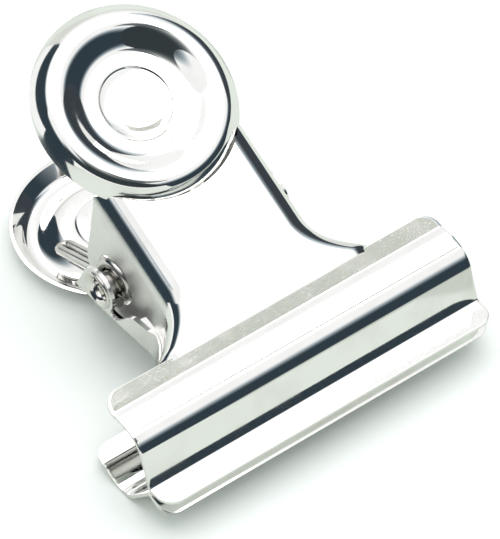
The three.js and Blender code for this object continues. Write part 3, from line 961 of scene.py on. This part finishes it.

# %% Every piece gets its finish
for piece, material, slot in (
    (upper_half, sheet_nickel, "nickel_plate"),
    (lower_half, sheet_nickel, "nickel_plate"),
    (tube, tube_nickel, "tube_plate"),
    (springs[0], wire_nickel, "spring_wire"),
    (springs[1], wire_nickel, "spring_wire"),
):
    piece.data.materials.append(material)
packed_finishes = {"upper_jaw": sheet_nickel, "lower_jaw": sheet_nickel}
packed_finishes |= {"pivot_tube": tube_nickel, "torsion_spring": wire_nickel}
for node, material in packed_finishes.items():
    frame["nodes"][node].data.materials.clear()
    frame["nodes"][node].data.materials.append(material)
print("the packed pieces wear", sorted({material.name for material in packed_finishes.values()}))

# %% [markdown]
# ## The studio
# Product photographs of chrome use a white table, a broad soft light overhead and dark cards around
# the set. The metal shows the light as white, the cards as dark bands along every bend, and the table
# as pale grey below them. Each card fades upwards to white, so a band has one crisp and one soft edge,
# and a dark cloth lies on the table beyond the clip. Cards and cloth are only there for reflections:
# the camera doesn't see them and they take no light from the table. The table is white to the camera
# and light grey in the metal, because a table is always dimmer than the lamp above it.

# %% The table
table_half = 3
table_seen, table_reflected = (0.93, 0.95, 0.94, 1), (0.65, 0.67, 0.63, 1)


def stage_object(name, bm, material):
    mesh = bpy.data.meshes.new(name)
    bm.to_mesh(mesh)
    bm.free()
    mesh.materials.append(material)
    item = bpy.data.objects.new(name, mesh)
    bpy.context.scene.collection.objects.link(item)
    return item


def table_material():
    material = bpy.data.materials.new("white table")
    material.use_nodes = True
    tree = material.node_tree
    shader = tree.nodes["Principled BSDF"]
    path = add(tree, "ShaderNodeLightPath")
    tone = colour_mix(tree, path.outputs["Is Glossy Ray"], table_seen, table_reflected)
    tree.links.new(tone, shader.inputs["Base Color"])
    shader.inputs["Roughness"].default_value = 0.9
    shader.inputs["Specular IOR Level"].default_value = 0.1
    return material


table_top = bmesh.new()
bmesh.ops.create_grid(table_top, x_segments=1, y_segments=1, size=table_half)
table = stage_object("table", table_top, table_material())
print(table.name, "is", 2 * table_half, "m wide")


# %% The tones of a card, by its height, or of a cloth, by its distance from the clip
def card_material(name, tones, first, last, lies_flat=False):
    """One tone up to first, another from last on and a third halfway, both in metres."""
    material = bpy.data.materials.new(name)
    material.use_nodes = True
    tree = material.node_tree
    tree.nodes.clear()
    place = add(tree, "ShaderNodeNewGeometry")
    split = add(tree, "ShaderNodeSeparateXYZ")
    tree.links.new(place.outputs["Position"], split.inputs[0])
    away = add(tree, "ShaderNodeVectorMath", operation="LENGTH")
    tree.links.new(place.outputs["Position"], away.inputs[0])
    share = add(tree, "ShaderNodeMapRange", clamp=True, interpolation_type="SMOOTHSTEP")
    share.inputs["From Min"].default_value = first
    share.inputs["From Max"].default_value = last
    tree.links.new(away.outputs["Value"] if lies_flat else split.outputs["Z"], share.inputs["Value"])
    ramp = add(tree, "ShaderNodeValToRGB")
    for element, tone in zip(ramp.color_ramp.elements, (tones[0], tones[2])):
        element.color = (*tone, 1)
    ramp.color_ramp.elements.new(0.5).color = (*tones[1], 1)
    tree.links.new(share.outputs[0], ramp.inputs[0])
    emit = add(tree, "ShaderNodeEmission")
    tree.links.new(ramp.outputs[0], emit.inputs["Color"])
    out = add(tree, "ShaderNodeOutputMaterial")
    tree.links.new(emit.outputs[0], out.inputs["Surface"])
    return material


white, navy, ink = (1, 1, 1), (0.032, 0.048, 0.062), (0.035, 0.045, 0.05)
steel, sky, slate = (0.38, 0.44, 0.48), (0.55, 0.64, 0.70), (0.25, 0.27, 0.27)
print("a card goes from", navy, "through", steel, "to", white)

# %% Cards round the set, seen only in reflections
card_distance, clip_level, card_step = 0.9, 0.02, 5
hidden_from = ("camera", "diffuse", "shadow", "transmission", "volume_scatter")


def bent_strip(name, start, end, rows, material):
    """A strip round the clip from one azimuth to another, between two rows of (radius, height)."""
    bm = bmesh.new()
    steps = max(2, round(abs(end - start) / card_step))
    columns = []
    for i in range(steps + 1):
        a = math.radians(start + (end - start) * i / steps)
        columns.append([bm.verts.new((r * math.cos(a), r * math.sin(a), z)) for r, z in rows])
    for near, far in zip(columns, columns[1:]):
        bm.faces.new((near[0], far[0], far[1], near[1]))
    strip = stage_object(name, bm, material)
    for ray in hidden_from:
        setattr(strip, f"visible_{ray}", False)
    return strip


def add_card(name, start, end, low, first_to, white_from, first, middle, distance=card_distance):
    """A standing card, dark at its foot and white at the top, with its heights as the clip sees them."""
    heights = [clip_level + distance * math.tan(math.radians(a)) for a in (low, first_to, white_from)]
    rows = [(distance, max(heights[0], 0)), (distance, heights[2])]
    return bent_strip(name, start, end, rows, card_material(name, (first, middle, white), *heights[1:]))


# Name, two azimuths, elevations of its foot, of the first tone's end and of white, first and middle tone
add_card("card_front", -85, -20, -2, 17, 38, navy, steel)
add_card("card_right", -20, 25, -6, 32, 60, (0.045, 0.055, 0.065), sky, 0.35)
add_card("card_left", 155, 192, -2, 25, 41, navy, steel)
add_card("card_left_back", 88, 155, 10, 36, 52, navy, steel)
add_card("card_left_front", 192, 222, 8, 32, 48, ink, steel)
add_card("card_camera", 222, 275, 8, 38, 64, ink, slate)
add_card("card_lens", 275, 292, 42, 58, 63, (0.12, 0.14, 0.15), slate)
add_card("card_lamp_edge", 331.5, 342, 60, 67.9, 68, (0.58, 0.61, 0.55), (0.58, 0.61, 0.55), 0.8)
add_card("card_back", 25, 88, -2, 12, 32, (0.76, 0.77, 0.74), (0.92, 0.92, 0.91))

# %% A dark cloth on the table, beyond the light grey that lies close to the clip
cloth_start, cloth_lift = 0.06, 0.0004
cloth_rows = [(cloth_start, cloth_lift), (card_distance, cloth_lift)]
cloth_tones = ((0.62, 0.66, 0.60), (0.38, 0.42, 0.40), navy)
cloth = card_material("dark cloth", cloth_tones, 0.066, 0.090, lies_flat=True)
for name, start, end in (("cloth_front", -85, -25), ("cloth_left", 150, 183)):
    bent_strip(name, start, end, cloth_rows, cloth)
print("the cloth starts", cloth_start, "m from the clip")


# %% Soft light overhead and the white surroundings
def add_softbox(size, place, watts, colour):
    data = bpy.data.lights.new("softbox", "AREA")
    data.shape = "SQUARE"
    data.size = size
    data.energy = watts
    data.color = colour
    light = bpy.data.objects.new("softbox", data)
    light.location = place
    light.rotation_euler = Vector(place).to_track_quat("Z", "Y").to_euler()
    bpy.context.scene.collection.objects.link(light)
    return light


softbox = add_softbox(size=2.4, place=(0.3, 0.2, 2.0), watts=26, colour=(1.0, 0.93, 0.96))
print(softbox.name, "gives", softbox.data.energy, "watts")


def white_world(strength, tint):
    """White where it is seen or reflected, a faintly tinted fill light for everything else."""
    world = bpy.data.worlds.new("white surroundings")
    bpy.context.scene.world = world
    world.use_nodes = True
    tree = world.node_tree
    background = tree.nodes["Background"]
    path = add(tree, "ShaderNodeLightPath")
    seen = math_node(tree, "MAXIMUM", path.outputs["Is Camera Ray"], path.outputs["Is Glossy Ray"])
    seen = math_node(tree, "MAXIMUM", seen, path.outputs["Is Transmission Ray"])
    fill = (*(strength * c for c in tint), 1)
    tree.links.new(colour_mix(tree, seen, fill, (*white, 1)), background.inputs["Color"])


white_world(strength=0.9, tint=(0.92, 1.0, 0.96))
bpy.context.scene.view_settings.view_transform = "Standard"
